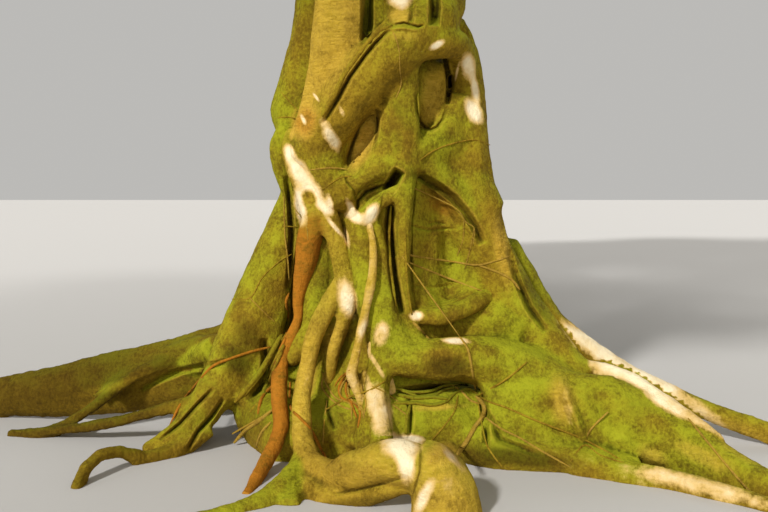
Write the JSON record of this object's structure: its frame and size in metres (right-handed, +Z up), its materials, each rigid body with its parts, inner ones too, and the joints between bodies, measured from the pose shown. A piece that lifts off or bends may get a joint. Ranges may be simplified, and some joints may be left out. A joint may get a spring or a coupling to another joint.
{
  "type": "banyan tree",
  "caption": "Broad evergreen tree with a trunk of fused aerial roots, buttress and surface roots, rising boughs and a rounded crown.",
  "frame": {"origin": "on the trunk's axis, in the flat cut at ground level", "axes": "+Z up along the trunk, -Y towards the side that the picture shows, +X to the right in that view"},
  "size_m": [13.8542, 13.3913, 13.1613],
  "materials": {
    "bark_mossy": "smooth bark under a thin coat of yellow-green moss, rough and dull",
    "bark_tan": "smooth tan bark with fine cross wrinkles, dull",
    "bark_pale": "pale grey-cream bark with greenish patches, dull",
    "bark_red": "red-brown bark of younger aerial roots, slightly satin",
    "foliage": "leathery dark green leaves, satin"
  },
  "bodies": {
    "root": {"trunk": "bark_mossy", "diagonal_strand": "bark_mossy", "right_strand": "bark_mossy", "right_plank": "bark_mossy", "forked_strand": "bark_pale", "tan_strand": "bark_tan", "front_strand": "bark_pale", "cross_root": "bark_mossy", "loop_root": "bark_tan", "knee_root": "bark_tan", "red_root": "bark_red", "thin_strand": "bark_red", "rear_right_root": "bark_pale", "left_leg": "bark_mossy", "left_buttress": "bark_mossy", "left_branch_root": "bark_tan", "left_low_root": "bark_tan", "arch_root": "bark_tan", "front_left_root": "bark_tan", "front_right_root": "bark_pale", "rear_root_1": "bark_mossy", "rear_root_2": "bark_mossy", "rear_root_3": "bark_mossy", "rear_root_4": "bark_mossy", "bough_lower_1": "bark_tan", "bough_lower_2": "bark_tan", "bough_lower_3": "bark_tan", "bough_lower_4": "bark_tan", "bough_lower_5": "bark_tan", "bough_lower_6": "bark_tan", "bough_middle_1": "bark_tan", "bough_middle_2": "bark_tan", "bough_middle_3": "bark_tan", "bough_middle_4": "bark_tan", "bough_middle_5": "bark_tan", "bough_upper_1": "bark_tan", "bough_upper_2": "bark_tan", "bough_upper_3": "bark_tan", "foliage_lower_1": "foliage", "foliage_lower_2": "foliage", "foliage_lower_3": "foliage", "foliage_lower_4": "foliage", "foliage_lower_5": "foliage", "foliage_lower_6": "foliage", "foliage_middle_1": "foliage", "foliage_middle_2": "foliage", "foliage_middle_3": "foliage", "foliage_middle_4": "foliage", "foliage_middle_5": "foliage", "foliage_upper_1": "foliage", "foliage_upper_2": "foliage", "foliage_upper_3": "foliage"}
  },
  "joints": []
}
